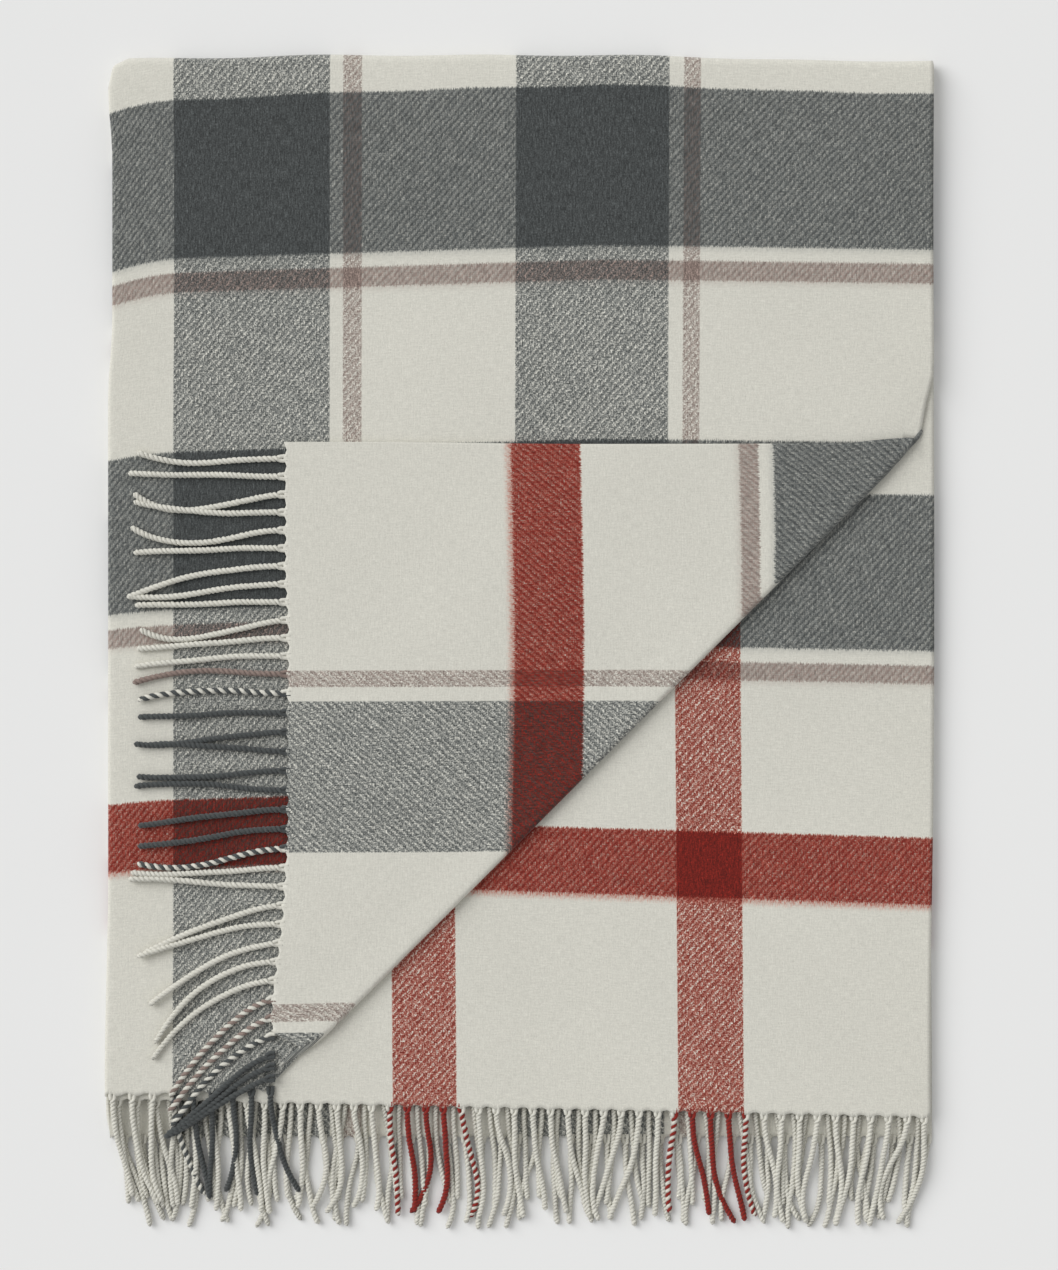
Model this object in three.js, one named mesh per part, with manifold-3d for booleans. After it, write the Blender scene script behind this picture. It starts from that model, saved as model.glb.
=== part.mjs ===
// A fringed plaid throw, folded once lengthwise and once crosswise, with one corner of its top layer turned back.
// Millimetres, +Z up. X runs across the folded throw and Y runs along it, up to the crest of the crosswise fold.
// The origin is the centre of the underside of the bounding box. The cloth is one sheet: its panels, folds and
// fringes are separate solids here, each a small gap from the next.
import * as THREE from 'three';
import { mergeVertices } from 'three/addons/utils/BufferGeometryUtils.js';
import Module from 'manifold-3d';

const wasm = await Module();
wasm.setup();

// The cloth and how it is stacked.
const foldedWidth = 645;
const clothThickness = 3.2;
const layerGap = 0.4;
const seamGap = 0.3;

// Lengths of the four layers, from the crest of the crosswise fold to their fringed edges.
const frontOuterLength = 809;
const frontInnerLeftLength = 817;
const frontInnerRightLength = 831;
const backInnerLength = 803;
const backOuterLength = 848;

// The turned corner: each leg of its triangle, and how far the soft crease holds its edges back.
const cornerLeg = 517;
const creaseTakeUp = 11;

// The fringe: twisted tassels that grow out of a narrow fell, the last few threads of the weave.
const fellWidth = 3;
const tasselWidth = 4.5;
const tasselThickness = 2.8;
const tasselPitch = 13.5;
const frontTasselLength = 86;
const backInnerTasselLength = 98;
const backOuterTasselLength = 70;
const cornerTasselLength = 116;
const cornerTasselLean = 10; // degrees, at the lowest tassel of the turned corner
const leaningTassels = 9;
const tasselRoot = 1.5; // how deep a tassel starts inside its fell
const interleave = 0.25; // share of the pitch that tassels shift, left on even layers and right on odd ones

const arcSegments = 6;

// Heights: layer 0 lies on the floor and layer 4 is the turned corner.
const layerPitch = clothThickness + layerGap;
const layerBase = (layer) => layer * layerPitch;
const layerMiddle = (layer) => layerBase(layer) + clothThickness / 2;
const halfBundle = 2 * layerPitch - layerGap / 2; // floor to the plane between front and back
const foldRadius = clothThickness + layerGap / 2; // outer radius of a fold round two touching layers

// Plan positions.
const longestRun = Math.max(backOuterLength + backOuterTasselLength, frontInnerRightLength + frontTasselLength);
const crestY = longestRun / 2;
const foldCentreY = crestY - halfBundle;
const panelTopY = foldCentreY - seamGap;
const leftX = -foldedWidth / 2;
const rightX = foldedWidth / 2;
const panelLeftX = leftX + foldRadius + seamGap;
const frontEdgeY = crestY - frontOuterLength;

// The diagonal crease: its crest lies on x - y = creaseCrest, and the flat cloth stops short of its roll.
const creaseCrest = rightX - (frontEdgeY + cornerLeg);
const creaseFlat = creaseCrest - (foldRadius + seamGap) * Math.SQRT2;
const cornerLeftX = frontEdgeY + creaseCrest + creaseTakeUp;
const cornerTopY = rightX - creaseCrest - creaseTakeUp;
const creaseHeight = layerBase(4) - layerGap / 2;

const wool = (color) => new THREE.MeshStandardMaterial({ color, roughness: 0.95, metalness: 0 });
const creamWool = wool(0xd0cdc2);
const plaidWool = wool(0x9d9b94);
const charcoalWool = wool(0x484b4c);
const madderWool = wool(0x8c2f26);

const throwBlanket = new THREE.Group();

function addPiece(name, geometry, material) {
  const piece = new THREE.Mesh(geometry, material);
  piece.name = name;
  throwBlanket.add(piece);
  return piece;
}

// Basis that carries local x, y and z to three directions, with its origin at a point.
function placement(xAxis, yAxis, zAxis, origin) {
  return new THREE.Matrix4().makeBasis(xAxis, yAxis, zAxis).setPosition(origin);
}

function toSolid(geometry) {
  const bare = geometry.clone();
  bare.deleteAttribute('normal');
  bare.deleteAttribute('uv');
  const merged = mergeVertices(bare);
  const vertProperties = Float32Array.from(merged.attributes.position.array);
  const triVerts = Uint32Array.from(merged.index.array);
  return new wasm.Manifold(new wasm.Mesh({ numProp: 3, vertProperties, triVerts }));
}

function toGeometry(solid) {
  const mesh = solid.getMesh();
  const geometry = new THREE.BufferGeometry();
  geometry.setAttribute('position', new THREE.BufferAttribute(Float32Array.from(mesh.vertProperties), 3));
  geometry.setIndex(Array.from(mesh.triVerts));
  geometry.computeVertexNormals();
  return geometry;
}

// A flat panel of cloth with the given outline, on a layer of the stack.
function addPanel(name, outline, layer, material) {
  const shape = new THREE.Shape(outline.map(([x, y]) => new THREE.Vector2(x, y)));
  const geometry = new THREE.ExtrudeGeometry(shape, { depth: clothThickness, bevelEnabled: false });
  addPiece(name, geometry, material).position.z = layerBase(layer);
}

// The section of a fold: a ring sector from one angle to another, with a flat cut at each end.
function foldSection(innerRadius, outerRadius, startAngle, endAngle) {
  const cut = seamGap / 2;
  const startOuter = startAngle === 0 ? Math.asin(cut / outerRadius) : startAngle;
  const startInner = startAngle === 0 ? Math.asin(cut / innerRadius) : startAngle;
  const section = new THREE.Shape();
  section.absarc(0, 0, outerRadius, startOuter, endAngle, false);
  section.absarc(0, 0, innerRadius, endAngle, startInner, true);
  return section;
}

// A fold of cloth: its section, drawn outwards and upwards, runs a length on both sides of a middle point.
function addFold(name, section, length, outward, up, middle, material) {
  const options = { depth: length, bevelEnabled: false, curveSegments: arcSegments };
  const geometry = new THREE.ExtrudeGeometry(section, options).translate(0, 0, -length / 2);
  const along = new THREE.Vector3().crossVectors(outward, up);
  geometry.applyMatrix4(placement(outward, up, along, middle));
  addPiece(name, geometry, material);
}

// The side view of a tassel: level from its root to the knee, then falling to its tip.
function tasselOutline(length, knee, fall) {
  const half = tasselThickness / 2;
  const bend = Math.min(knee, length / 2);
  const spine = [[-tasselRoot, 0], [bend, 0], [length, -fall]];
  const lower = spine.map(([x, y]) => new THREE.Vector2(x, y - half));
  const upper = spine.map(([x, y]) => new THREE.Vector2(x, y + half));
  return new THREE.Shape([...lower, ...upper.reverse()]);
}

// One layer's fringe, as a row of combs: each is a strip of fell with its share of the tassels.
// The edge runs from start to end, with the tassels pointing to the right of that direction.
function addFringe(name, edge) {
  const across = new THREE.Vector3().subVectors(edge.end, edge.start);
  const edgeLength = across.length();
  across.normalize();
  const up = new THREE.Vector3(0, 0, 1);
  const outward = new THREE.Vector3().crossVectors(across, up);
  const count = Math.max(edge.groups, Math.round(edgeLength / tasselPitch));
  const spacing = edgeLength / count;
  const room = (spacing - tasselWidth) / 2 - seamGap;
  const shift = edge.side * Math.min(interleave * spacing, room);
  const outline = tasselOutline(edge.tasselLength, edge.knee, edge.fall);
  const tassel = new THREE.ExtrudeGeometry(outline, { depth: tasselWidth, bevelEnabled: false });
  tassel.translate(0, 0, -tasselWidth / 2);
  const sideways = new THREE.Vector3().crossVectors(outward, up);
  for (let group = 0; group < edge.groups; group++) {
    const first = Math.round((group * count) / edge.groups);
    const last = Math.round(((group + 1) * count) / edge.groups);
    const stripLength = (last - first) * spacing - seamGap;
    const strip = new THREE.BoxGeometry(stripLength, fellWidth, clothThickness);
    const stripMiddle = edge.start.clone()
      .addScaledVector(across, ((first + last) / 2) * spacing)
      .addScaledVector(outward, -fellWidth / 2);
    strip.applyMatrix4(placement(across, outward.clone().negate(), up, stripMiddle));
    let comb = toSolid(strip);
    for (let index = first; index < last; index++) {
      const lean = THREE.MathUtils.degToRad(edge.lean(index, count));
      const leaned = outward.clone().applyAxisAngle(up, lean);
      const leanedSideways = sideways.clone().applyAxisAngle(up, lean);
      const root = edge.start.clone().addScaledVector(across, (index + 0.5) * spacing + shift);
      const placed = tassel.clone().applyMatrix4(placement(leaned, up, leanedSideways, root));
      comb = comb.add(toSolid(placed));
    }
    addPiece(`${name}_${group + 1}`, toGeometry(comb), edge.material);
  }
}

// Cloth panels, from the floor up.
const plainEdge = (length) => crestY - length + fellWidth + seamGap;
const skew = Math.atan2(frontInnerRightLength - frontInnerLeftLength, foldedWidth);
const skewedEdge = (length) => crestY - length + (fellWidth + seamGap) / Math.cos(skew);

addPanel('back_outer_panel', [
  [panelLeftX, plainEdge(backOuterLength)],
  [rightX, plainEdge(backOuterLength)],
  [rightX, panelTopY],
  [panelLeftX, panelTopY],
], 0, creamWool);

addPanel('back_inner_panel', [
  [panelLeftX, plainEdge(backInnerLength)],
  [rightX, plainEdge(backInnerLength)],
  [rightX, panelTopY],
  [panelLeftX, panelTopY],
], 1, creamWool);

addPanel('front_inner_panel', [
  [panelLeftX, skewedEdge(frontInnerLeftLength)],
  [rightX, skewedEdge(frontInnerRightLength)],
  [rightX, panelTopY],
  [panelLeftX, panelTopY],
], 2, creamWool);

const outerEdgeY = plainEdge(frontOuterLength);
addPanel('front_outer_panel', [
  [panelLeftX, outerEdgeY],
  [outerEdgeY + creaseFlat, outerEdgeY],
  [rightX, rightX - creaseFlat],
  [rightX, panelTopY],
  [panelLeftX, panelTopY],
], 3, plaidWool);

const cornerPanelX = cornerLeftX + fellWidth + seamGap;
addPanel('turned_corner_panel', [
  [cornerPanelX, cornerPanelX - creaseFlat],
  [cornerTopY + creaseFlat, cornerTopY],
  [cornerPanelX, cornerTopY],
], 4, plaidWool);

// Side folds: the lengthwise fold, once in the front half and once in the back half.
const rightAngle = Math.PI / 2;
const towardsLeft = new THREE.Vector3(-1, 0, 0);
const upwards = new THREE.Vector3(0, 0, 1);
const downwards = new THREE.Vector3(0, 0, -1);
const sideSection = foldSection(layerGap / 2, foldRadius, -rightAngle, rightAngle);

function addSideFold(name, length, lowerLayer, material) {
  const bottomY = crestY - length;
  const middle = new THREE.Vector3(
    leftX + foldRadius,
    (panelTopY + bottomY) / 2,
    layerBase(lowerLayer + 1) - layerGap / 2,
  );
  addFold(name, sideSection, panelTopY - bottomY, towardsLeft, upwards, middle, material);
}

addSideFold('back_side_fold', backInnerLength, 0, creamWool);
addSideFold('front_side_fold', frontOuterLength, 2, creamWool);

// The crosswise fold: an inner and an outer turn of cloth, each split at the hinge plane between the halves.
const towardsCrest = new THREE.Vector3(0, 1, 0);
const crestMiddle = new THREE.Vector3(0, foldCentreY, halfBundle);
const outerTurn = foldSection(halfBundle - clothThickness, halfBundle, 0, rightAngle);
const innerTurn = foldSection(layerGap / 2, foldRadius, 0, rightAngle);

for (const [half, up, material] of [['front', upwards, plaidWool], ['back', downwards, creamWool]]) {
  addFold(`top_fold_outer_${half}`, outerTurn, foldedWidth, towardsCrest, up, crestMiddle, material);
  addFold(`top_fold_inner_${half}`, innerTurn, foldedWidth, towardsCrest, up, crestMiddle, material);
}

// The diagonal crease of the turned corner, split at its own hinge plane.
const acrossCrease = new THREE.Vector3(1, -1, 0).normalize();

function addCrease(name, lowX, highX, up) {
  const middleX = (lowX + highX) / 2;
  const middle = new THREE.Vector3(middleX, middleX - creaseCrest, creaseHeight);
  middle.addScaledVector(acrossCrease, -foldRadius);
  addFold(name, innerTurn, (highX - lowX) * Math.SQRT2, acrossCrease, up, middle, plaidWool);
}

addCrease('diagonal_fold_lower', frontEdgeY + creaseCrest, rightX, downwards);
addCrease('diagonal_fold_upper', cornerLeftX, cornerTopY + creaseCrest, upwards);

// Fringes. Past the longest layer's edge the tassels of the layers above all fall at one slope.
const kneeBeyond = 3;
const kneeOf = (length) => backOuterLength - length + kneeBeyond;
const fallSlope = layerPitch / Math.max(longestRun - backOuterLength, kneeBeyond);
const runPast = (length) => Math.max(0, length - backOuterLength - kneeBeyond);
const fallOf = (length, tasselLength) => fallSlope * runPast(length + tasselLength);
const upright = () => 0;

function addEdgeFringe(name, layer, leftLength, rightLength, endX, tasselLength, groups, material) {
  addFringe(name, {
    start: new THREE.Vector3(panelLeftX, crestY - leftLength, layerMiddle(layer)),
    end: new THREE.Vector3(endX, crestY - rightLength, layerMiddle(layer)),
    tasselLength,
    knee: layer === 0 ? tasselLength : kneeOf(leftLength),
    fall: layer === 0 ? 0 : fallOf(leftLength, tasselLength),
    side: layer % 2 === 0 ? -1 : 1,
    groups,
    material,
    lean: upright,
  });
}

const wideGroups = 6; // combs along a whole edge of the folded throw
const outerGroups = 2;
const cornerGroups = 4;
const outerEndX = frontEdgeY + creaseFlat - seamGap;
const backOuterEdge = [backOuterLength, backOuterLength, rightX, backOuterTasselLength];
const backInnerEdge = [backInnerLength, backInnerLength, rightX, backInnerTasselLength];
const frontInnerEdge = [frontInnerLeftLength, frontInnerRightLength, rightX, frontTasselLength];
const frontOuterEdge = [frontOuterLength, frontOuterLength, outerEndX, frontTasselLength];
addEdgeFringe('back_outer_fringe', 0, ...backOuterEdge, wideGroups, creamWool);
addEdgeFringe('back_inner_fringe', 1, ...backInnerEdge, wideGroups, creamWool);
addEdgeFringe('front_inner_fringe', 2, ...frontInnerEdge, wideGroups, madderWool);
addEdgeFringe('front_outer_fringe', 3, ...frontOuterEdge, outerGroups, charcoalWool);

const cornerBottomY = cornerPanelX - creaseFlat + seamGap;
addFringe('turned_corner_fringe', {
  start: new THREE.Vector3(cornerLeftX, cornerTopY, layerMiddle(4)),
  end: new THREE.Vector3(cornerLeftX, cornerBottomY, layerMiddle(4)),
  tasselLength: cornerTasselLength,
  knee: cornerTasselLength,
  fall: 0,
  side: 1,
  groups: cornerGroups,
  material: charcoalWool,
  lean: (index, count) => cornerTasselLean * Math.max(0, 1 - (count - 1 - index) / leaningTassels),
});

export default throwBlanket;
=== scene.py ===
import math
import random

import bmesh
import bpy
import numpy as np
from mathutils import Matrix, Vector


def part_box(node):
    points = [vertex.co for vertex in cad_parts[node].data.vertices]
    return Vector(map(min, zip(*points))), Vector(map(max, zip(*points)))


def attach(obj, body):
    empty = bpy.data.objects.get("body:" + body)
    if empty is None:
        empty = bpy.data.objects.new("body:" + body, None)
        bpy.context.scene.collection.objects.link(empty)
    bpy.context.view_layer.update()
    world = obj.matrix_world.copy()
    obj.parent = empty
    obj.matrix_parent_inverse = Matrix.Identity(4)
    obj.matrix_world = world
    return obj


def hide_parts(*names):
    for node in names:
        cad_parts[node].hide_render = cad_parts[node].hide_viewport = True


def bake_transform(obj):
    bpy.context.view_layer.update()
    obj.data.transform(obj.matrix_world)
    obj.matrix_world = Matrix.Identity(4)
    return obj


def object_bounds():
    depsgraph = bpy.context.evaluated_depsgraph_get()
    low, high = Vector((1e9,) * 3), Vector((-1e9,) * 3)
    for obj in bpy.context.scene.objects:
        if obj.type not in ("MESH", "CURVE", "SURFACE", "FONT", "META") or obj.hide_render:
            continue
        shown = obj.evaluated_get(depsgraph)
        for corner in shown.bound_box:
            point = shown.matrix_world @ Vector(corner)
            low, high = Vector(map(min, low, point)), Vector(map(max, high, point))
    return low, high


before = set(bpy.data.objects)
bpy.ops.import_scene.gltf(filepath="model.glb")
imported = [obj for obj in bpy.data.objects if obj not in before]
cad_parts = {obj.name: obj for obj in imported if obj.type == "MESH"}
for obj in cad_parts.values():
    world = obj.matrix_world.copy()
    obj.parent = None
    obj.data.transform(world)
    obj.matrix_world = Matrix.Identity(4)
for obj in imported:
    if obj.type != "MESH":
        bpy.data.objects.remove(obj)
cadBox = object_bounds()
mm = 0.001
print("frame loaded:", len(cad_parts), "nodes")

# camera and light
view = {"height": 2.5, "seen": 0.9925, "right": 0.0063, "up": 0.0051, "middle": 0.010}
studio = {"keyStrength": 2.04, "keyAngle": 48, "keyTilt": 47, "fill": 0.512, "floor": 0.87}

camera = bpy.data.objects.new("Camera", bpy.data.cameras.new("Camera"))
camera.data.sensor_fit = "VERTICAL"
camera.data.sensor_height = 36
camera.data.lens = 36 * (view["height"] - view["middle"]) / view["seen"]
camera.location = (view["right"], view["up"], view["height"])
bpy.context.scene.collection.objects.link(camera)
bpy.context.scene.camera = camera
bpy.context.scene.view_settings.view_transform = "Standard"

key = bpy.data.objects.new("Key light", bpy.data.lights.new("Key light", "SUN"))
key.data.energy = studio["keyStrength"]
key.data.angle = math.radians(studio["keyAngle"])
key.rotation_euler = (math.radians(-studio["keyTilt"] * 0.55), math.radians(-studio["keyTilt"]), 0)
bpy.context.scene.collection.objects.link(key)

world = bpy.data.worlds.new("Studio")
world.use_nodes = True
world.node_tree.nodes["Background"].inputs["Color"].default_value = (0.995, 1.0, 1.0, 1)
world.node_tree.nodes["Background"].inputs["Strength"].default_value = studio["fill"]
bpy.context.scene.world = world


# shader workshop
class Wire:                                  # a shader socket that can stand in a sum
    def __init__(self, finish, node, output=0):
        self.finish = finish
        self.node = node
        self.socket = node.outputs[output]

    def output(self, name):
        return Wire(self.finish, self.node, name)

    def math(self, operation, *others):
        return self.finish.math(operation, self, *others)

    def __add__(self, other):
        return self.math("ADD", other)

    def __sub__(self, other):
        return self.math("SUBTRACT", other)

    def __mul__(self, other):
        return self.math("MULTIPLY", other)

    def __truediv__(self, other):
        return self.math("DIVIDE", other)

    def __rsub__(self, other):
        return self.finish.math("SUBTRACT", other, self)

    __radd__ = __add__
    __rmul__ = __mul__


class Finish:                                # a material and its node tree
    def __init__(self, name):
        self.material = bpy.data.materials.new(name)
        self.material.use_nodes = True
        self.tree = self.material.node_tree
        self.tree.nodes.clear()

    def node(self, kind, settings=None, values=None, output=0):
        made = self.tree.nodes.new(kind)
        for name, setting in (settings or {}).items():
            setattr(made, name, setting)
        for name, value in (values or {}).items():
            if isinstance(value, Wire):
                self.tree.links.new(value.socket, made.inputs[name])
            else:
                made.inputs[name].default_value = value
        return Wire(self, made, output)

    def math(self, operation, *values, clamp=False):
        settings = {"operation": operation, "use_clamp": clamp}
        return self.node("ShaderNodeMath", settings, dict(enumerate(values)))

    def vector(self, x, y, z=0.0):
        return self.node("ShaderNodeCombineXYZ", None, {"X": x, "Y": y, "Z": z})

    def mix(self, first, second, share):
        values = {0: share, 4: first, 5: second}
        return self.node("ShaderNodeMix", {"data_type": "VECTOR"}, values, output=1)

    def noise(self, x, y, detail=2.0, z=0.0):
        values = {"Vector": self.vector(x, y, z), "Scale": 1.0, "Detail": detail, "Roughness": 0.6}
        return self.node("ShaderNodeTexNoise", {"noise_dimensions": "3D"}, values)

    def ease(self, value, low, high):        # 0 below low, 1 above high, smooth between
        settings = {"interpolation_type": "SMOOTHSTEP"}
        limits = {"Value": value, "From Min": low, "From Max": high}
        return self.node("ShaderNodeMapRange", settings, limits)

    def band(self, place, start, end, soft):
        inside = (end - start) / 2 - (place - (start + end) / 2).math("ABSOLUTE")
        return self.math("MULTIPLY_ADD", inside, 1 / soft, 0.5, clamp=True)

    def bands(self, place, stripes, soft):
        total = None
        for start, end in stripes:
            one = self.band(place, start, end, soft)
            total = one if total is None else total + one
        return total

    def fromLog(self, logColour):            # colours are mixed as logarithms, like dyed fibres
        parts = self.node("ShaderNodeSeparateXYZ", None, {"Vector": logColour})
        channels = {}
        for name, axis in (("Red", "X"), ("Green", "Y"), ("Blue", "Z")):
            channels[name] = self.math("POWER", math.e, parts.output(axis))
        return self.node("ShaderNodeCombineColor", None, channels)

    def surface(self, colour, roughness, normal, sheen):
        values = {"Base Color": colour, "Roughness": roughness, "Normal": normal,
                  "Sheen Weight": sheen, "Sheen Roughness": 0.55, "Specular IOR Level": 0.15}
        shader = self.node("ShaderNodeBsdfPrincipled", None, values)
        return self.output(shader)

    def output(self, shader):
        out = self.tree.nodes.new("ShaderNodeOutputMaterial")
        self.tree.links.new(shader.socket, out.inputs["Surface"])
        return self.material


def logOf(red, green, blue, gain=1.0):       # a screen colour, as the logarithm of its light
    channels = []
    for level in (red, green, blue):
        share = level / 255
        light = share / 12.92 if share <= 0.04045 else ((share + 0.055) / 1.055) ** 2.4
        channels.append(math.log(light * gain))
    return tuple(channels)


dye = {"gain": 1.09,
       "cream": (206, 204, 194), "charcoal": (66, 69, 69), "taupe": (129, 113, 106), "red": (107, 25, 17)}
dyeLog = {name: logOf(*dye[name], dye["gain"]) for name in ("cream", "charcoal", "taupe", "red")}

# Stripes in millimetres: the warp from the right selvedge, the weft from the fringed end.
plaid = {"width": 1290, "length": 1660, "fold": 645,
         "warp": {"taupe": [(182, 195), (446.5, 461)], "charcoal": [(206.5, 326), (471.5, 593.5)],
                  "red": [(871, 920.5), (1094, 1145)]},
         "weft": {"red": [(168, 220)], "taupe": [(341, 355), (613.5, 628.5)],
                  "charcoal": [(367, 488.8), (640, 765.2)]}}
weave = {"end": 1.39, "pick": 1.52, "weftShare": 0.61, "wale": 0.26, "grain": 2.1, "float": 0.26,
         "haze": 9.0, "hazeShare": {"taupe": 0.34, "charcoal": 0.26, "red": 0.62}}


def wovenWool(name, twill):
    cloth = Finish(name)
    place = cloth.node("ShaderNodeUVMap", {"uv_map": "cloth"})
    axes = cloth.node("ShaderNodeSeparateXYZ", None, {"Vector": place})
    across = axes.output("X") * 1000
    along = axes.output("Y") * 1000
    end = (plaid["fold"] - (across - plaid["fold"]).math("ABSOLUTE")) / weave["end"]
    pick = along / weave["pick"]

    wander = cloth.noise(across * 0.05, along * 0.05, 1.0)
    fine = cloth.noise(across * 0.95, along * 0.75, 3.0)
    streak = cloth.noise(across * 0.8, along * 0.12, 3.0)
    hair = cloth.noise(across * 1.5, along * 0.28, 2.0, 7.0)
    tuft = cloth.noise(across * 0.5, along * 0.35, 2.0)
    broad = cloth.noise(across * 0.008, along * 0.008, 2.0)

    # stripes keep crisp, slightly saw-toothed edges, and the nap draws a haze of weft down from each
    warpPlace = across + (fine - 0.5) * 1.8 + (tuft - 0.5) * 1.0
    middle = plaid["length"] / 2
    weftPlace = middle - (along - middle).math("ABSOLUTE") + (hair - 0.5) * 6.5 + (fine - 0.5) * 1.2
    drawn = cloth.ease(hair * 0.5 + streak * 0.5, 0.25, 0.68)

    warpLog = dyeLog["cream"]
    weftLog = dyeLog["cream"]
    dark = None
    for yarn in ("taupe", "charcoal", "red"):
        warpBand = cloth.bands(warpPlace, plaid["warp"][yarn], 0.9)
        weftBand = cloth.bands(weftPlace, plaid["weft"][yarn], 1.4)
        for start, _ in plaid["weft"][yarn]:
            below = cloth.ease(weftPlace, start - weave["haze"], start + 0.5)
            above = 1 - cloth.ease(weftPlace, start, start + 1.5)
            weftBand = weftBand + below * below * above * drawn * weave["hazeShare"][yarn]
        warpLog = cloth.mix(warpLog, dyeLog[yarn], warpBand)
        weftLog = cloth.mix(weftLog, dyeLog[yarn], weftBand)
        both = warpBand * (1 - weave["weftShare"]) + weftBand * weave["weftShare"]
        dark = both if dark is None else dark + both

    # two over two under, so the wale climbs one pick for each end; the raised nap breaks it up
    loose = (wander - 0.5) * 0.7 + (tuft - 0.5) * 0.45 + (fine - 0.5) * 0.55
    turn = ((end + pick * twill) / 4 + loose).math("FRACT")
    wale = (turn - 0.5).math("ABSOLUTE") * 2
    raised = cloth.ease(wale, 0.30, 0.85)
    oneFloat = cloth.vector(end.math("FLOOR"), (pick / 2).math("FLOOR"))
    lone = cloth.node("ShaderNodeTexWhiteNoise", {"noise_dimensions": "2D"}, {"Vector": oneFloat})
    bead = (end * (2 * math.pi)).math("COSINE") * 0.10 + (pick * (2 * math.pi)).math("COSINE") * 0.10
    onTop = ((raised - 0.45) * weave["wale"] + (fine - 0.5) * weave["grain"]
             + (lone - 0.5) * weave["float"] + bead * 0.3)
    share = cloth.math("ADD", onTop, weave["weftShare"], clamp=True)
    mixed = cloth.mix(warpLog, weftLog, share)

    cross = cloth.noise(across * 0.14, along * 0.9, 2.0, 3.0)
    speck = (fine - 0.5) * 0.38 + (streak - 0.5) * 0.26 + (hair - 0.5) * 0.18 + (cross - 0.5) * 0.30
    # painted shade: darker where light and dark yarns cross in the weave; the other terms of depth are the
    # yarns' own flecks and tone
    weaveShade = 1 - (dark * 2 - 1).math("ABSOLUTE")
    depth = ((fine - 0.5) * dark * 2.3 + (hair - 0.5) * dark * 1.3
             + (streak - 0.5) * dark * 1.9 + (lone - 0.5) * dark * 0.16
             + (broad - 0.5) * 0.10 - weaveShade * 0.09)
    shade = speck + depth
    lit = cloth.node("ShaderNodeVectorMath", {"operation": "ADD"},
                     {0: mixed, 1: cloth.vector(shade, shade, shade)})
    colour = cloth.fromLog(lit)

    relief = raised * dark * 0.35 + fine * 0.9 + hair * 0.4 + bead * 0.3
    bump = cloth.node("ShaderNodeBump", None, {"Strength": 0.35, "Distance": 0.0006, "Height": relief})
    roughness = cloth.math("ADD", (fine - 0.5) * 0.1, 0.93)
    return cloth.surface(colour, roughness, bump, 0.22)


def twistedYarn(name, yarn):
    cord = Finish(name)
    place = cord.node("ShaderNodeUVMap", {"uv_map": "strand"})
    axes = cord.node("ShaderNodeSeparateXYZ", None, {"Vector": place})
    around = axes.output("X")
    along = axes.output("Y") * 1000
    fibre = cord.noise(around * 14 + along * 0.5, along * 0.22, 3.0)
    fuzz = cord.noise(around * 30, along * 1.3, 2.0)
    whole = cord.node("ShaderNodeTexCoord", output="Object")
    lot = cord.node("ShaderNodeTexNoise", None, {"Vector": whole, "Scale": 45.0, "Detail": 1.0})
    strength = 0.85 if yarn != "cream" else 0.30
    brighter = {"red": 0.34, "charcoal": 0.06}.get(yarn, 0.0)
    shade = (fibre - 0.5) * strength + (fuzz - 0.5) * strength + (lot - 0.5) * 0.16 + brighter
    plyShade = 0.16 if yarn != "cream" else 0.05
    shade = shade + (around * (2 * math.pi)).math("COSINE") * plyShade   # painted shade, darker down between the plies
    lit = cord.node("ShaderNodeVectorMath", {"operation": "ADD"},
                    {0: dyeLog[yarn], 1: cord.vector(shade, shade, shade)})
    relief = fibre + fuzz * 0.6
    bump = cord.node("ShaderNodeBump", None, {"Strength": 0.5, "Distance": 0.0004, "Height": relief})
    return cord.surface(cord.fromLog(lit), (fuzz - 0.5) * 0.1 + 0.92, bump, 0.25)


plaidWool = wovenWool("Plaid brushed wool", 1)
plaidReverse = wovenWool("Plaid brushed wool, reverse", -1)
yarns = {name: twistedYarn("Fringe yarn, " + name, name) for name in ("cream", "charcoal", "taupe", "red")}
yarnOrder = ["cream", "charcoal", "taupe", "red"]
print("materials ready")


# how the throw lies
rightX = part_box("front_outer_panel")[1][0] / mm
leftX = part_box("front_side_fold")[0][0] / mm
lay = {"thickness": 2.7, "fold": 1.8, "middle": 7.0, "crest": cadBox[1][1] / mm,
       "flap": 16.0, "crease": 155.5, "creaseFlat": 150.27, "roll": 2.8,
       "frontEdge": -350, "innerEdge": -358, "innerSkew": -14, "backInnerEdge": -344, "backEdge": -389,
       "cornerEdge": -183.5, "cornerTop": 156, "cornerMiddle": 14.2, "cornerLeg": 517, "lift": 2.2}
foldCentre = lay["crest"] - lay["middle"]
firstRow = plaid["weft"]["red"][0][0]        # the rows are placed from the start of the first red stripe
drape = {"calmCrease": 45, "calmCrest": 60, "crestRise": 110, "rightDrop": 4.5, "leftDrop": 2.6,
         "cornerWide": 16, "cornerDeep": 22, "cornerDown": 6, "cornerIn": 4.5, "leftReach": 70,
         "tipIn": 11.5, "tipDown": 12.0, "waistIn": 3.2, "footOut": 2.6}
diagonal = 2 ** 0.5


def smooth(value):
    value = min(max(value, 0.0), 1.0)
    return value * value * (3 - 2 * value)


def billow(x, y):                            # the soft rise and fall of the pile, 0 to 1
    waves = (math.sin(x * 0.017 + 1.3) * math.sin(y * 0.013 + 0.4)
             + math.sin(x * 0.031 - y * 0.022 + 2.0) * 0.5
             + math.sin(x * 0.009 + y * 0.041) * 0.35)
    return 0.5 + waves * 0.27


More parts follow.
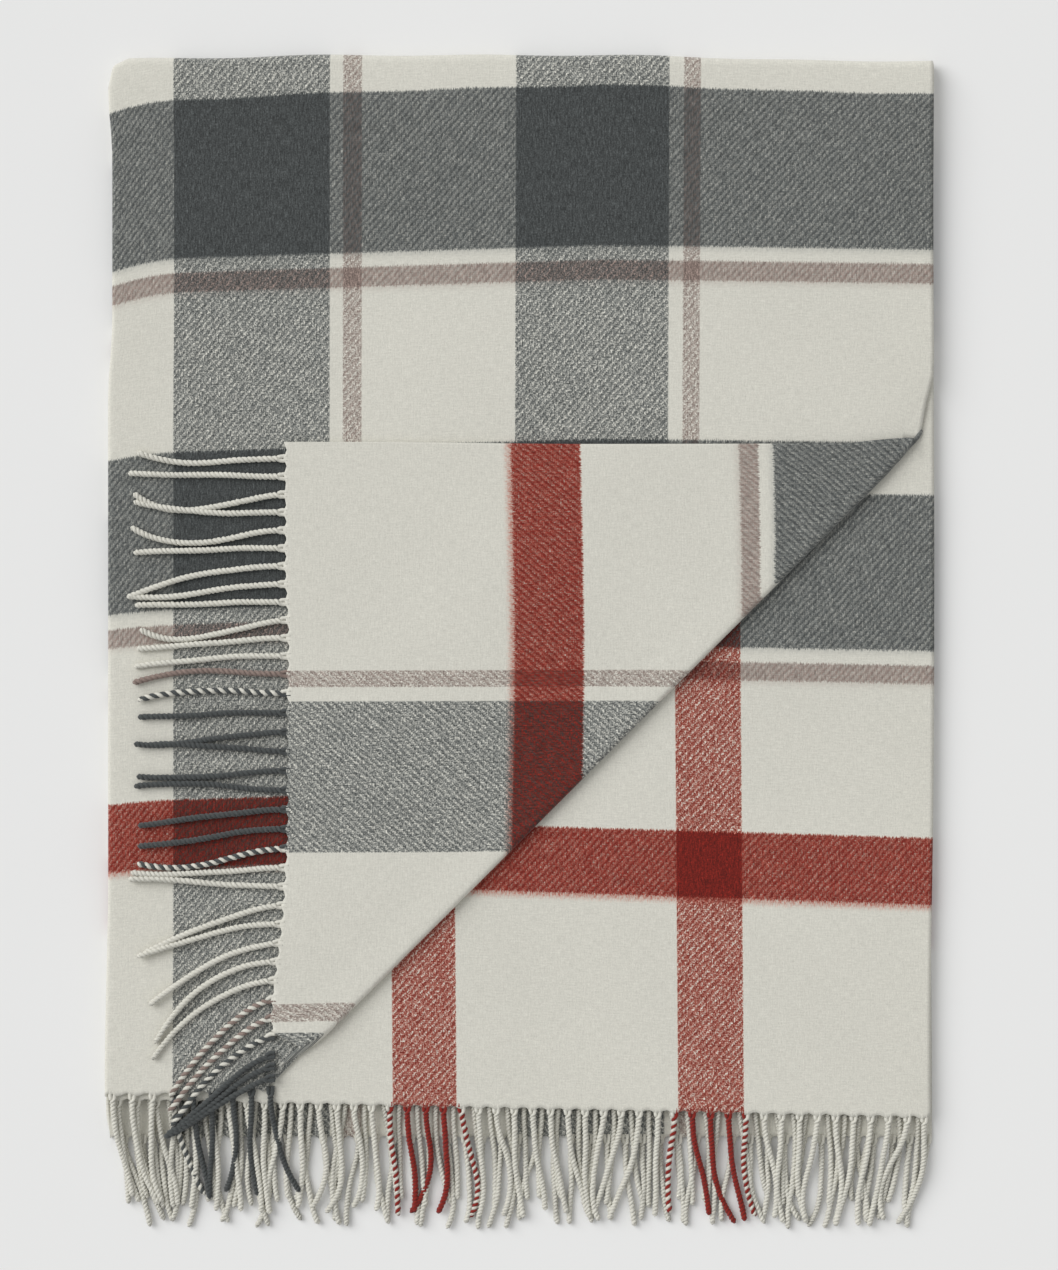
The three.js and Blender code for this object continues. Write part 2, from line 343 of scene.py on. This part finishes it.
def settle(x, y, z):                         # moves a point of the flat pile to where it really lies
    crease = abs(x - y - lay["crease"]) / 1.414
    calm = smooth(crease / drape["calmCrease"]) * smooth((lay["crest"] - y) / drape["calmCrest"])
    z += lay["lift"] * max(0.0, z - lay["middle"]) / 9 * billow(x, y) * calm
    # the top fold isn't quite straight, and its left end is rounded
    crestDrop = (drape["rightDrop"] * smooth((x - 60) / 200) + drape["leftDrop"] * smooth((-150 - x) / 120)
                 + 0.5 * math.sin(x * 0.05))
    wide, deep, rise = drape["cornerWide"], drape["cornerDeep"], drape["crestRise"]
    corner = max(0.0, (leftX + wide - x) / wide) * max(0.0, (y - lay["crest"] + deep) / deep)
    y -= crestDrop * smooth((y - lay["crest"] + rise) / rise) + drape["cornerDown"] * corner
    x += drape["cornerIn"] * corner
    # the left fold bows in a little above the middle and out at the bottom
    nearLeft = smooth((leftX + drape["leftReach"] - x) / drape["leftReach"])
    if z > 11:                               # the top layer's selvedge runs in to the tip of the fold
        tip = smooth((x - 283) / 36) * smooth((214 - y) / 48) * smooth((17.5 - z) / 3)
        x -= drape["tipIn"] * tip
        y -= drape["tipDown"] * tip * smooth((200 - y) / 30) * smooth((y - 120) / 30)
    waist = drape["waistIn"] * smooth((y - 190) / 60) * smooth((430 - y) / 50)
    x += nearLeft * (waist - drape["footOut"] * smooth((-180 - y) / 160))
    return x, y, z


def edgeOf(layer, x):
    if layer == "frontOuter":
        return lay["frontEdge"] - 3.5 * smooth((-200 - x) / 100)
    if layer == "frontInner":
        return lay["innerEdge"] + lay["innerSkew"] * (x - leftX) / (rightX - leftX)
    if layer == "backInner":
        return lay["backInnerEdge"]
    return lay["backEdge"]


def frontOuterPlace(x, y):                   # cloth coordinates of the top layer
    dip = 6.0 * (0.3 + 0.7 * smooth(y / 300))
    dropped = 0.031 * max(0.0, 62 - x) + dip * max(0.0, (-260 - x) / 50) ** 2 + 0.013 * max(0.0, x - 62)
    dropped += 2.9 * (1 - smooth((y + 180) / 320))
    lean = 0.006 * (460 - y) * smooth((x + 320) / 640)
    return rightX - x - lean, firstRow + y + dropped + 162.7


def frontInnerPlace(x, y):                   # its rows run a little downhill to the right
    slope = 0.047 * (1 - (y + 370) / 600)
    u = plaid["width"] - (rightX - 3.6 - x) + 0.0076 * (y + 350)
    return u, firstRow + (y + 201.6 + slope * (x - 203)) * 1.012


def cornerPlace(x, y, share=1.0):            # share: 0 where it joins the top layer, 1 once it is on top
    sway = 2.5 * math.sin((y - 120) * 0.011)
    flat = ((lay["cornerTop"] - y) * 1.021, firstRow + (x + 7.05 + sway) * 0.977)
    ideal = frontOuterPlace(x, y)
    return flat[0] * share + ideal[0] * (1 - share), flat[1] * share + ideal[1] * (1 - share)


# the folded cloth
clothMesh = {"column": 3.36, "rows": 46, "foldSteps": 8, "edgeRows": (0.004, 0.012, 0.03)}


def lengthwiseColumns():                     # (x, depth in the fold, how far round from outer to inner)
    flatWidth = rightX - leftX - lay["fold"] - lay["thickness"] / 2
    count = round(flatWidth / clothMesh["column"])
    turnX = leftX + lay["fold"] + lay["thickness"] / 2
    columns = [(rightX - flatWidth * i / count, lay["fold"], 0.0) for i in range(count + 1)]
    for i in range(1, clothMesh["foldSteps"]):
        angle = math.pi * i / clothMesh["foldSteps"]
        columns.append((turnX - lay["fold"] * math.sin(angle), lay["fold"] * math.cos(angle),
                        i / clothMesh["foldSteps"]))
    columns += [(turnX + flatWidth * i / count, -lay["fold"], 1.0) for i in range(count + 1)]
    return columns


def crosswiseRows():                         # ("front", share), ("turn", angle), ("back", share)
    count = clothMesh["rows"]
    shares = [0.0] + list(clothMesh["edgeRows"]) + [i / count for i in range(2, count + 1)]
    rows = [("front", share) for share in shares]
    rows += [("turn", math.pi / 2 - math.pi * i / 9) for i in range(1, 9)]
    rows += [("back", share) for share in reversed(shares)]
    return rows


def frontPlace(x, y, inner):                 # the stripes run straight round the left fold
    outer = frontOuterPlace(x, y)
    u = outer[0] * (1 - inner) + (plaid["width"] - outer[0]) * inner
    if inner < 1:
        return u, outer[1]
    under = frontInnerPlace(x, y)
    share = smooth((x - leftX - 4) / 150)
    return u * (1 - share) + under[0] * share, outer[1] * (1 - share) + under[1] * share


def throwPoint(column, row):
    x, depth, inner = column
    kind, amount = row
    reach = 2 * lay["fold"] + depth
    if kind == "turn":
        y = foldCentre + reach * math.cos(amount)
        z = lay["middle"] + reach * math.sin(amount)
        drop = reach * (math.pi / 2 - amount)
        u, v = frontPlace(x, foldCentre, inner)
        return (x, y, z), (u, v + drop)
    side = 1 if kind == "front" else -1
    layers = ("frontOuter", "frontInner") if kind == "front" else ("backOuter", "backInner")
    edge = edgeOf(layers[0], x) * (1 - inner) + edgeOf(layers[1], x) * inner
    y = edge + (foldCentre - edge) * amount
    z = lay["middle"] + side * reach
    u, v = frontPlace(x, y, inner)
    if kind == "back":
        v = frontPlace(x, foldCentre, inner)[1] + reach * math.pi + foldCentre - y
    return (x, y, z), (u, v)


def rightEdgeWander(kind, inner, y):         # the four selvedges don't lie quite on each other
    if kind == "front" and inner < 0.5:
        return 0.5 * math.sin(y * 0.014) - 0.2
    if kind == "front":
        return 0.5 * math.sin(y * 0.011 + 1.0) - 2.2 * smooth((-100 - y) / 240)
    if inner > 0.5:
        return -1.8 + 0.6 * math.sin(y * 0.009 + 2.0)
    return -1.0 + 0.6 * math.sin(y * 0.012)


def addCloth(name, points, faces, places, material):
    mesh = bpy.data.meshes.new(name)
    mesh.from_pydata([(x * mm, y * mm, z * mm) for x, y, z in points], [], faces)
    mesh.update()
    cloth = bpy.data.objects.new(name, mesh)
    bpy.context.scene.collection.objects.link(cloth)
    layer = mesh.uv_layers.new(name="cloth")
    corners = np.empty(len(mesh.loops), dtype=np.int32)
    mesh.loops.foreach_get("vertex_index", corners)
    layer.data.foreach_set("uv", (np.array(places)[corners] * mm).astype(np.float32).ravel())
    mesh.materials.append(material)
    return cloth


def thicken(cloth, thickness):
    solid = cloth.modifiers.new("Thickness", "SOLIDIFY")
    solid.thickness = thickness * mm
    solid.offset = 0
    bpy.context.view_layer.objects.active = cloth
    cloth.select_set(True)
    bpy.ops.object.modifier_apply(modifier=solid.name)
    cloth.data.polygons.foreach_set("use_smooth", [True] * len(cloth.data.polygons))
    cloth.select_set(False)


def cutAlong(mesh, faces, point, normal):    # keeps the side that the normal points away from
    pieces = dict.fromkeys(faces)            # in a fixed order, so that every run gives the same mesh
    for face in faces:
        pieces.update(dict.fromkeys(face.edges))
        pieces.update(dict.fromkeys(face.verts))
    bmesh.ops.bisect_plane(mesh, geom=list(pieces), plane_co=point, plane_no=normal, clear_outer=True)


def makeThrow():
    columns, rows = lengthwiseColumns(), crosswiseRows()
    points, places = [], []
    for kind, amount in rows:
        for column in columns:
            (x, y, z), place = throwPoint(column, (kind, amount))
            near = smooth((x - rightX + 90) / 90)
            if kind == "turn":
                ease = (math.pi / 2 - amount) / math.pi
                wander = (rightEdgeWander("front", column[2], y) * (1 - ease)
                          + rightEdgeWander("back", column[2], y) * ease)
            else:
                wander = rightEdgeWander(kind, column[2], y)
            # each layer's last few millimetres scallop towards its tassels
            if kind == "front" and amount < 0.02:
                y -= 1.3 * math.cos((x - rightX + 7) * 2 * math.pi / fringe["pitch"]) * (1 - amount / 0.02)
            if kind == "back" and amount < 0.02:
                y -= 1.8 * math.cos((x - rightX + 4) * 2 * math.pi / fringe["pitch"]) * (1 - amount / 0.02)
            if kind == "front" and column[2] < 0.5:
                nearCrease = smooth(1 - abs(x - y - lay["creaseFlat"]) / 1.414 / 22)
                z -= 1.0 * nearCrease
            points.append(settle(x + near * wander, y, z))
            places.append(place)
    width = len(columns)
    faces = []
    for j in range(len(rows) - 1):
        for i in range(width - 1):
            first = j * width + i
            faces.append((first, first + width, first + width + 1, first + 1))
    cloth = addCloth("throw_cloth", points, faces, places, plaidWool)
    mesh = bmesh.new()
    mesh.from_mesh(cloth.data)
    top = [face for face in mesh.faces if face.calc_center_median().z > 10.8 * mm]
    where = Vector((lay["creaseFlat"] * mm, 0, 0))
    cutAlong(mesh, top, where, Vector((1, -1, 0)).normalized())
    mesh.to_mesh(cloth.data)
    mesh.free()
    thicken(cloth, lay["thickness"])
    return cloth


cornerMesh = {"along": 4.4, "rows": 84, "rollSteps": 10, "middleAlong": -19.5, "stretch": 0.066,
              "tipRise": 6.0, "sag": 2.3, "hollow": 2.6}


def makeCorner():
    crest = lay["crease"] / diagonal
    rollCentre = crest - lay["roll"] - lay["thickness"] / 2
    middle = lay["cornerMiddle"]
    profile = []                             # (distance across the crease, height, which mapping)
    for i in range(cornerMesh["rollSteps"] + 1):
        angle = -math.pi / 2 + math.pi * i / cornerMesh["rollSteps"]
        profile.append((rollCentre + lay["roll"] * math.cos(angle), middle + lay["roll"] * math.sin(angle),
                        smooth(2 * i / cornerMesh["rollSteps"])))
    depth = (lay["crease"] + lay["cornerTop"] - lay["cornerEdge"] + 20) / diagonal
    for i in range(1, cornerMesh["rows"] + 1):
        back = depth * (i / cornerMesh["rows"]) ** 1.05
        height = lay["flap"] + (middle + lay["roll"] - lay["flap"]) * (1 - smooth(back / 30))
        profile.append((rollCentre - back, height, 1.0))
    low, high = (lay["cornerEdge"] - 60) * diagonal, (lay["cornerTop"] + 240) * diagonal
    count = round((high - low) / cornerMesh["along"])
    points, places, faces = [], [], []
    for across, height, share in profile:
        for i in range(count + 1):
            along = low + (high - low) * i / count
            x, y = (along + across) / diagonal, (along - across) / diagonal
            points.append((x, y, height))
            places.append(cornerPlace(x, y, share))
    for j in range(len(profile) - 1):
        for i in range(count):
            first = j * (count + 1) + i
            faces.append((first, first + 1, first + count + 2, first + count + 1))
    cloth = addCloth("turned_corner_cloth", points, faces, places, plaidReverse)
    mesh = bmesh.new()
    mesh.from_mesh(cloth.data)
    cutAlong(mesh, list(mesh.faces), Vector((lay["cornerEdge"] * mm, 0, 0)), Vector((-1, 0, 0)))
    cutAlong(mesh, list(mesh.faces), Vector((0, lay["cornerTop"] * mm, 0)), Vector((0, 1, 0)))
    for vert in mesh.verts:
        x, y, z = vert.co / mm
        top = smooth((y - lay["cornerTop"] + 40) / 40)
        rise = cornerMesh["tipRise"] * smooth((x - 245) / 62)
        y += top * (rise - cornerMesh["sag"] * smooth((x + 150) / 220) - 0.5)
        # under the roll it runs on as far as the edges of the top layer do
        under = smooth((middle + lay["roll"] - z) / (2 * lay["roll"]))
        along = (x + y) / diagonal - cornerMesh["middleAlong"]
        x += along * under * cornerMesh["stretch"] / diagonal
        y += along * under * cornerMesh["stretch"] / diagonal
        y += 0.2 * max(0.0, -300 - y) * smooth((z - 13) / 3)
        edge = smooth((lay["cornerEdge"] + 30 - x) / 30)
        hollow = 0.5 - 0.5 * math.cos(2 * math.pi * cornerCount(y))
        hollow *= cornerMesh["hollow"]
        x += edge * cornerEdgeWander(y) + hollow * smooth((lay["cornerEdge"] + 4 - x) / 4)
        vert.co = Vector(settle(x, y, z)) * mm
    mesh.to_mesh(cloth.data)
    mesh.free()
    thicken(cloth, lay["thickness"])
    return cloth


def cornerEdgeWander(y):                     # the fringed edge of the turned corner bows a little
    bow = 2.5 * smooth((60 - y) / 60) - 1.5
    return bow - 7.0 * smooth((-130 - y) / 160) - 5.0 * smooth((-210 - y) / 90)


# the fringe
fringe = {"pitch": 13.94, "cornerPitch": 14.6, "ply": 1.84, "offset": 0.74,
          "turn": 5.7, "cornerTurn": 7.4, "flare": 8.0, "spread": 1.7, "root": 1.5,
          "rough": 0.08, "step": 1.0, "sides": 8, "inside": 3.0}

# How each tassel lies: how far it has strayed sideways by its middle and by its tip (mm).
innerLie = [(-1.5, -21), (-14, -18), (-5.5, -14), (-5.5, -9.5), (-3, -14), (4, 0), (-7, -9.5), (-1, 5.5),
            (-2.5, 1.5), (7, 8.5), (-1, 8), (4, 13), (2.5, 19), (6, 14), (-4, -3), (-1, -2), (-7, -24),
            (-8, -22), (-7, -3), (0, 3), (5, 16), (4, 13), (4, 10), (1, 7), (9, 5), (3, 0), (9.5, 7),
            (3, -4.5), (3.5, -12.5), (4, 6), (3, 7), (4, 3), (6, -2), (4, -8.5), (5, -5.5), (1, -2)]
outerLie = [(5, 15), (3, 18), (-2, 7), (6, 24), (4, 12), (-1, -3), (2, -7), (-1, 4), (5, 22)]
cornerLie = [(3, -4, 114), (-1, -2, 121), (11, -1, 117), (0, -9, 117), (9, -3, 119), (1, 4, 117),
             (6, 24, 122), (6, 10, 120), (1, 3, 117), (12, 7, 114), (4, 8, 117), (2, 9, 119),
             (-2, 7, 120), (-2, 6, 116), (1, 4, 116), (6, 9, 119), (-4, -4, 110), (4, 4, 117),
             (-4, -3, 119), (5, 12, 116), (6, 14, 116), (11, 12, 116), (4, 3, 120), (-3, -6, 121),
             (14, 37, 108), (8, 26, 112), (15, 49, 101), (13, 64, 95), (16, 62, 95), (26, 77, 80),
             (27, 74, 80), (24, 70, 78), (27, 62, 80), (25, 54, 82), (22, 46, 84)]


def yarnAt(across):                          # which dyed yarn the warp has at this place
    for yarn, stripes in plaid["warp"].items():
        for start, end in stripes:
            if start - 1.3 <= across <= end + 1.3:
                return yarn
    return "cream"


def tassel(root, outward, sideways, lie, length, heights, rng, turn, quality=1.0):
    # the middle line, as points with a frame at each
    stray, tip = lie
    lean = max(0, stray - 8) * 1.6
    bend, curl = 8 * stray - 3 * lean - tip, 2 * tip + 2 * lean - 8 * stray
    count = max(20, round((length + fringe["inside"]) / fringe["step"] * quality))
    shares = np.linspace(-fringe["inside"] / length, 1, count)
    ahead = shares * length
    wobble = 0.5 * np.sin(shares * 9 + rng.uniform(0, 6)) * np.clip(shares * 3, 0, 1)
    positive = np.clip(shares, 0, 1)
    side = lean * positive + bend * positive ** 2 + curl * positive ** 3 + wobble
    fall = positive ** 2 * (3 - 2 * positive)
    height = heights[0] + (heights[1] - heights[0]) * np.clip(fall * 1.25, 0, 1)
    height = height + 0.5 * np.sin(shares * 7 + rng.uniform(0, 6)) * np.clip(shares * 3, 0, 1)
    centre = np.array(root)[None, :] + np.outer(ahead, outward) + np.outer(side, sideways)
    centre[:, 2] = height
    tangent = np.gradient(centre, axis=0)
    tangent /= np.linalg.norm(tangent, axis=1)[:, None]
    lateral = np.cross(tangent, np.array([0, 0, 1.0]))
    lateral /= np.linalg.norm(lateral, axis=1)[:, None]
    if np.dot(lateral[0], sideways) < 0:
        lateral = -lateral
    upward = np.cross(lateral, tangent)
    upward *= np.sign(upward[:, 2:3])
    travelled = np.concatenate([[0], np.cumsum(np.linalg.norm(np.diff(centre, axis=0), axis=1))])
    travelled -= fringe["inside"]
    gathered = np.clip(travelled / fringe["flare"], 0, 1)
    gathered = gathered * gathered * (3 - 2 * gathered)
    untwisted = fringe["flare"] * 0.45
    perTurn = turn * rng.uniform(0.93, 1.12)
    twist = np.clip(travelled - untwisted, 0, None) * 2 * math.pi / perTurn
    away = fringe["spread"] + (fringe["offset"] - fringe["spread"]) * gathered
    wide = fringe["spread"] * 0.95 + (fringe["ply"] - 0.1 - fringe["spread"] * 0.95) * gathered
    thick = fringe["root"] + (fringe["ply"] + 0.1 - fringe["root"]) * gathered
    end = np.clip((travelled[-1] - travelled) / 2.2, 0, 1) ** 0.5 * 0.75 + 0.25
    sides = fringe["sides"] if quality > 0.8 else 6
    plies = []
    for start in (0.0, math.pi):
        angle = twist + start
        radial = lateral * np.cos(angle)[:, None] + upward * np.sin(angle)[:, None]
        cross = -lateral * np.sin(angle)[:, None] + upward * np.cos(angle)[:, None]
        middle = centre + radial * (away * (0.4 + 0.6 * end))[:, None]
        ring = np.linspace(0, 2 * math.pi, sides, endpoint=False)
        rough = 1 + fringe["rough"] * np.array([[rng.gauss(0, 1) for _ in ring] for _ in shares])
        wideRing = np.cos(ring)[None, :] * (wide * end)[:, None] * rough
        thickRing = np.sin(ring)[None, :] * (thick * end)[:, None] * rough
        body = (middle[:, None, :]
                + radial[:, None, :] * wideRing[:, :, None]
                + cross[:, None, :] * thickRing[:, :, None])
        plies.append((body, travelled))
    return plies


def addFringe(name, strands):                # strands: (rings of points, distance along, yarn)
    points, faces, places, kinds = [], [], [], []
    start = 0
    for body, travelled, yarn in strands:
        count, sides = body.shape[:2]
        points.append(body.reshape(-1, 3))
        index = yarnOrder.index(yarn)
        for j in range(count - 1):
            for i in range(sides):
                nextI = (i + 1) % sides
                faces.append((start + j * sides + i, start + j * sides + nextI,
                              start + (j + 1) * sides + nextI, start + (j + 1) * sides + i))
                places += [(i / sides, travelled[j]), ((i + 1) / sides, travelled[j]),
                           ((i + 1) / sides, travelled[j + 1]), (i / sides, travelled[j + 1])]
                kinds.append(index)
        for j in (0, count - 1):
            loop = [start + j * sides + i for i in range(sides)]
            faces.append(tuple(reversed(loop)) if j == 0 else tuple(loop))
            places += [(0.5, travelled[j])] * sides
            kinds.append(index)
        start += count * sides
    mesh = bpy.data.meshes.new(name)
    mesh.from_pydata((np.concatenate(points) * mm).tolist(), [], faces)
    layer = mesh.uv_layers.new(name="strand")
    uv = np.array(places)
    uv[:, 1] *= mm
    layer.data.foreach_set("uv", uv.astype(np.float32).ravel())
    for yarn in yarnOrder:
        mesh.materials.append(yarns[yarn])
    mesh.polygons.foreach_set("material_index", kinds)
    mesh.polygons.foreach_set("use_smooth", [True] * len(mesh.polygons))
    mesh.update()
    made = bpy.data.objects.new(name, mesh)
    bpy.context.scene.collection.objects.link(made)
    bmeshed = bmesh.new()
    bmeshed.from_mesh(mesh)
    bmesh.ops.recalc_face_normals(bmeshed, faces=bmeshed.faces)
    bmeshed.to_mesh(mesh)
    bmeshed.free()
    return made


def combFor(prefix, count, axis, place):     # the CAD comb that a tassel belongs to
    best = None
    for number in range(1, count + 1):
        node = prefix + "_" + str(number)
        low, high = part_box(node)
        away = abs((low[axis] + high[axis]) / 2 / mm - place)
        if best is None or away < best[0]:
            best = (away, node)
    return best[1]


def makeEdgeFringe(prefix, layer):
    rng = random.Random(layer["seed"])
    groups = {prefix + "_" + str(number): [] for number in range(1, layer["combs"] + 1)}
    for i, even in enumerate(layer["roots"]):
        x = even + rng.uniform(-0.5, 0.5)
        y = edgeOf(layer["edge"], x)
        length = layer["length"] + rng.uniform(-4, 4)
        if i < len(layer["lies"]):
            lie = layer["lies"][i]
        else:
            tip = rng.uniform(-13, 13) + 17 * smooth((-250 - x) / 70) - 16 * smooth((x - 260) / 60)
            lie = (tip * 0.35 + rng.uniform(-4, 4), tip)
        start, end = layer["heights"]
        root = settle(x, y, start)
        fall = (root[2], end + rng.uniform(-0.3, 0.5))
        plies = tassel(root, (0, -1, 0), (1, 0, 0), lie, length, fall,
                       rng, fringe["turn"], layer["quality"])
        group = groups[combFor(prefix, layer["combs"], 0, x)]
        for side, (ring, travelled) in zip((1, -1), plies):
            yarn = "cream"
            if layer["warp"]:
                yarn = yarnAt(layer["warp"](even + side * fringe["pitch"] / 4, y)[0])
            group.append((ring, travelled, yarn))
    return addCombs(groups, layer["body"])


def addCombs(groups, body):
    made = []
    for node, strands in groups.items():
        comb = addFringe(node + "_yarn", strands)
        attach(comb, body)
        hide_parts(node)
        made.append(comb)
    return made


def cornerCount(y):                          # which corner tassel would be at this height; 0 is the top one
    if y > -25.2:
        return (142.7 - y) / 13.99
    if y > -176.2:
        return 12 + (-25.2 - y) / 15.1
    return 22 + (-176.2 - y) / 14.6


def cornerRoot(i):
    if i <= 12:
        return 142.7 - 13.99 * i
    if i <= 22:
        return -25.2 - 15.1 * (i - 12)
    return -176.2 - 14.6 * (min(i, 32) - 22) - 9.0 * max(0, i - 32)


def makeCornerFringe():
    rng = random.Random(7)
    groups = {"turned_corner_fringe_" + str(number): [] for number in range(1, 5)}
    for i, (stray, tip, length) in enumerate(cornerLie):
        y = cornerRoot(i)
        x = lay["cornerEdge"] + cornerEdgeWander(y)
        top = settle(x, y, lay["flap"])
        past = smooth((-230 - y) / 110)
        fall = (top[2], top[2] + 0.4 - 3.0 * past)
        plies = tassel((top[0], y, top[2]), (-1, 0, 0), (0, -1, 0), (stray, tip), length, fall,
                       rng, fringe["cornerTurn"])
        group = groups[combFor("turned_corner_fringe", 4, 1, y)]
        for side, (ring, travelled) in zip((-1, 1), plies):
            across = cornerPlace(x, 144.6 - fringe["cornerPitch"] * (i - side / 4))[0]
            group.append((ring, travelled, yarnAt(across)))
    return addCombs(groups, "turned_corner")


print("weaving the cloth")
throwCloth = makeThrow()
cornerCloth = makeCorner()
print("twisting the fringe")
innerRoots = [315.5 - fringe["pitch"] * i for i in range(46)]
edgeFringes = {
    "front_inner_fringe": {"edge": "frontInner", "body": "front_half", "combs": 6, "roots": innerRoots,
                           "lies": innerLie, "length": 84, "heights": (8.8, 4.2),
                           "warp": frontInnerPlace, "seed": 3, "quality": 1.0},
    "front_outer_fringe": {"edge": "frontOuter", "body": "front_half", "combs": 2,
                           "roots": [-316 + 15.1 * i for i in range(9)],
                           "lies": outerLie, "length": 84, "heights": (12.4, 5.5),
                           "warp": frontOuterPlace, "seed": 4, "quality": 1.0},
    "back_inner_fringe": {"edge": "backInner", "body": "back_half", "combs": 6,
                          "roots": [x - 6 for x in innerRoots],
                          "lies": [], "length": 96, "heights": (5.2, 2.8),
                          "warp": None, "seed": 5, "quality": 0.75},
    "back_outer_fringe": {"edge": "backOuter", "body": "back_half", "combs": 6,
                          "roots": [x + 3 for x in innerRoots],
                          "lies": [], "length": 68, "heights": (2.5, 2.5),
                          "warp": None, "seed": 6, "quality": 0.75}}
mainFringe = []
for prefix, layer in edgeFringes.items():
    mainFringe += makeEdgeFringe(prefix, layer)
cornerFringe = makeCornerFringe()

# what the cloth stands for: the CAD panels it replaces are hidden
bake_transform(throwCloth)
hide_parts("back_outer_panel", "back_inner_panel", "front_inner_panel", "front_outer_panel",
            "back_side_fold", "front_side_fold", "top_fold_inner_back", "top_fold_inner_front",
            "top_fold_outer_back", "top_fold_outer_front")
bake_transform(cornerCloth)
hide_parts("turned_corner_panel", "diagonal_fold_upper", "diagonal_fold_lower")

cornerLeg = lay["cornerLeg"] * mm
1.290 * 1.660 - cornerLeg ** 2 / 2
cornerLeg ** 2 / 2

# the floor
paper = Finish("Pale paper floor")
spot = paper.node("ShaderNodeTexCoord", output="Object")
grain = paper.node("ShaderNodeTexNoise", None, {"Vector": spot, "Scale": 3.0, "Detail": 2.0})
tone = (grain - 0.5) * 0.012 + studio["floor"]
paperColour = paper.node("ShaderNodeCombineColor", None, {"Red": tone, "Green": tone, "Blue": tone * 0.993})
paperShader = paper.node("ShaderNodeBsdfPrincipled", None, {"Base Color": paperColour, "Roughness": 0.9,
                                                            "Specular IOR Level": 0.1})
paper.output(paperShader)
floorMesh = bpy.data.meshes.new("Floor")
floorMesh.from_pydata([(-4, -4, 0), (4, -4, 0), (4, 4, 0), (-4, 4, 0)], [], [(0, 1, 2, 3)])
floorMesh.materials.append(paper.material)
floor = bpy.data.objects.new("Floor", floorMesh)
floor.location.z = -0.0003
bpy.context.scene.collection.objects.link(floor)

print("finished")
